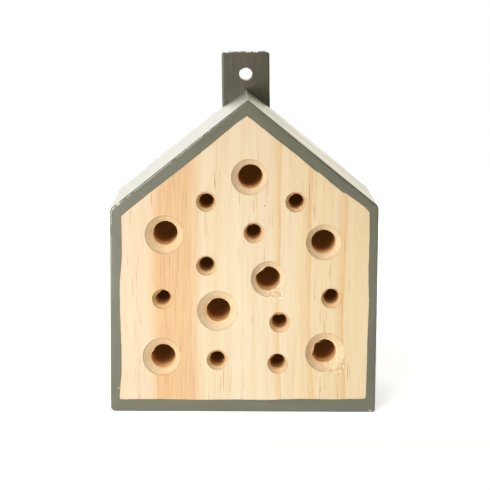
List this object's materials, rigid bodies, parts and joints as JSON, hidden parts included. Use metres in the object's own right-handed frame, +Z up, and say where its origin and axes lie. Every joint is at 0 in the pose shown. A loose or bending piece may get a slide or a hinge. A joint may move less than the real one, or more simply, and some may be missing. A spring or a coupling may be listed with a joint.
{
  "type": "insect hotel",
  "caption": "House-shaped drilled pine block for solitary bees, painted grey with a bare front, hung by a slat on its back.",
  "frame": {"origin": "middle of the footprint, on the surface the block stands on", "axes": "+Z up along the walls to the ridge, -Y out of the nesting holes, +X to the right seen from the front"},
  "size_m": [0.11, 0.068, 0.1461],
  "materials": {
    "pine_block": "planed pine, bare in front and brushed with grey paint elsewhere",
    "painted_slat": "brushed satin grey paint on pine",
    "screw_steel": "bright zinc plating"
  },
  "bodies": {
    "root": {"nesting_block": "pine_block", "hanging_slat": "painted_slat", "slat_screws": "screw_steel"}
  },
  "joints": []
}
